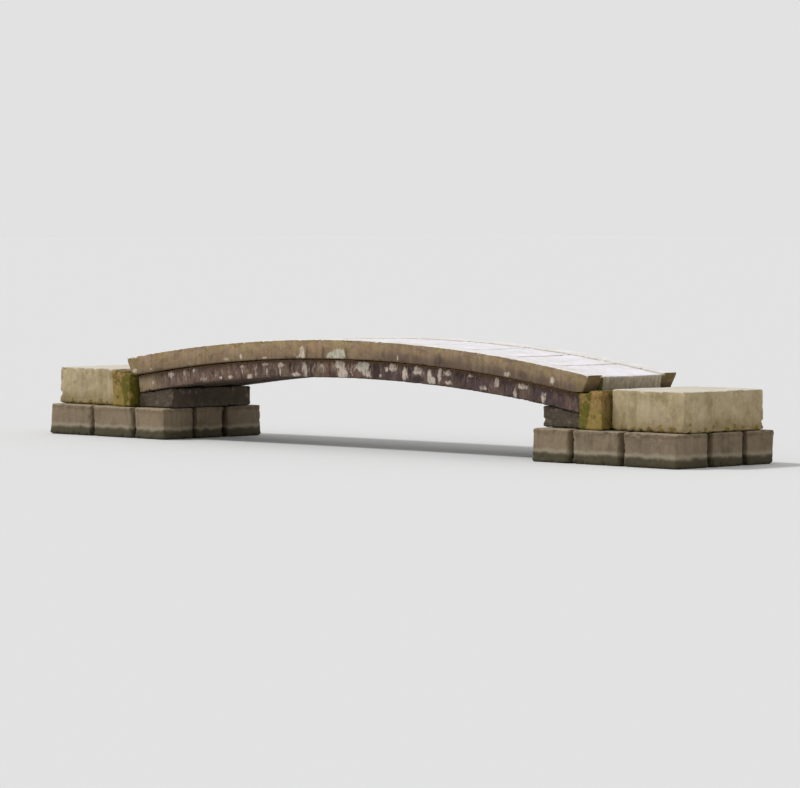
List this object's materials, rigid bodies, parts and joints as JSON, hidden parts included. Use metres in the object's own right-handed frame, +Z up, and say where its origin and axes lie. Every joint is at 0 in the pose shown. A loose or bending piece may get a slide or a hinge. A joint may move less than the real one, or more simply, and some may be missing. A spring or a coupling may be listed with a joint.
{
  "type": "stone moon bridge",
  "caption": "Low arched stone garden bridge: cross slabs between long kerbs on curved girders, with stepped stone abutments, for crossing a narrow stretch of pond on foot.",
  "frame": {"origin": "middle of the bridge, on the level at which its lowest blocks meet the water or the bank", "axes": "+X along the bridge from bank to bank, +Y across it, +Z up"},
  "size_m": [7.67, 1.2, 0.9298],
  "materials": {
    "kerb": "weathered brown-grey granite with pale lichen",
    "deck_slab": "pale worn stone, dressed flat",
    "girder": "dark reddish-brown weathered stone with pale lichen",
    "bearing_stone": "damp grey-brown stone",
    "end_stone": "brown stone with moss",
    "landing_stone": "light tan stone, worn on top",
    "block": "rough hewn grey-brown stone, darker at the water line"
  },
  "bodies": {
    "root": {"front_kerb": "kerb", "back_kerb": "kerb", "deck_slab_1": "deck_slab", "deck_slab_2": "deck_slab", "deck_slab_3": "deck_slab", "deck_slab_4": "deck_slab", "deck_slab_5": "deck_slab", "deck_slab_6": "deck_slab", "deck_slab_7": "deck_slab", "deck_slab_8": "deck_slab", "deck_slab_9": "deck_slab", "deck_slab_10": "deck_slab", "deck_slab_11": "deck_slab", "front_girder": "girder", "middle_girder": "girder", "back_girder": "girder", "left_bearing_stone": "bearing_stone", "left_end_stone": "end_stone", "left_landing_stone": "landing_stone", "left_water_block_front": "block", "left_water_block_middle": "block", "left_water_block_back": "block", "left_side_block_front": "block", "left_side_block_back": "block", "left_land_block_front": "block", "left_land_block_middle": "block", "left_land_block_back": "block", "right_bearing_stone": "bearing_stone", "right_end_stone": "end_stone", "right_landing_stone": "landing_stone", "right_water_block_front": "block", "right_water_block_middle": "block", "right_water_block_back": "block", "right_side_block_front": "block", "right_side_block_back": "block", "right_land_block_front": "block", "right_land_block_middle": "block", "right_land_block_back": "block"}
  },
  "joints": []
}
